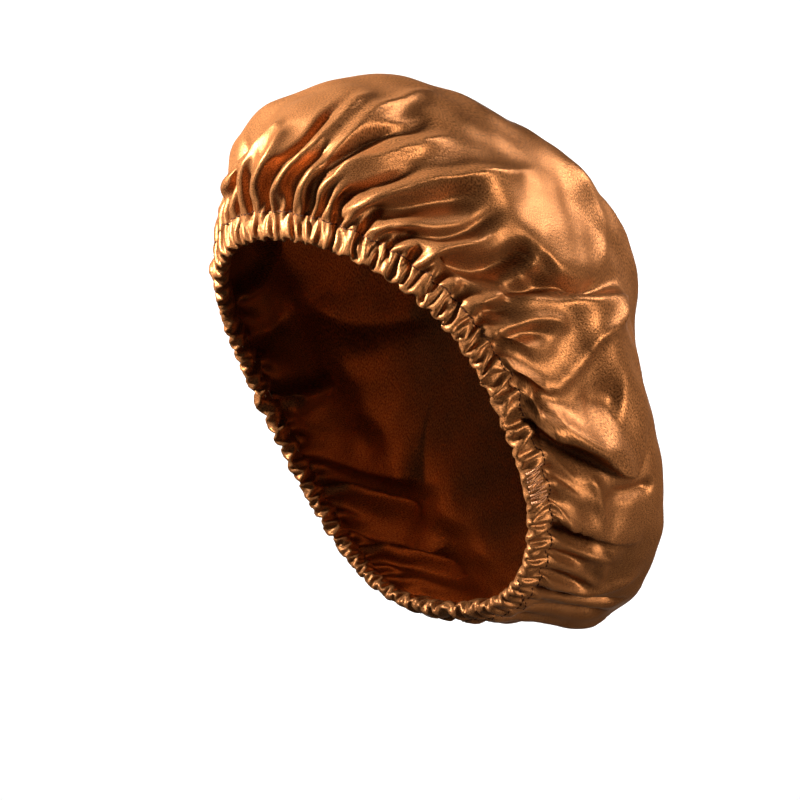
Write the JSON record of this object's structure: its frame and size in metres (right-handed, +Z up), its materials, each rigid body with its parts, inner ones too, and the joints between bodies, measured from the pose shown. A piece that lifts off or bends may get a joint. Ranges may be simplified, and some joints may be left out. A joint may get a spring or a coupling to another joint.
{
  "type": "sleep bonnet",
  "caption": "Large slouching satin sleep bonnet, gathered by an elastic in a stitched casing, in the form it keeps while worn.",
  "frame": {"origin": "middle of the elastic opening, where the head goes in", "axes": "+Z up as worn, -Y towards the wearer's front, +X towards the wearer's left"},
  "size_m": [0.2293, 0.2713, 0.3139],
  "materials": {
    "satin": "copper-brown charmeuse satin with a strong soft sheen",
    "elastic": "off-white knitted elastic, hidden in the casing"
  },
  "bodies": {
    "root": {"crown": "satin", "casing": "satin", "elastic": "elastic"}
  },
  "joints": []
}
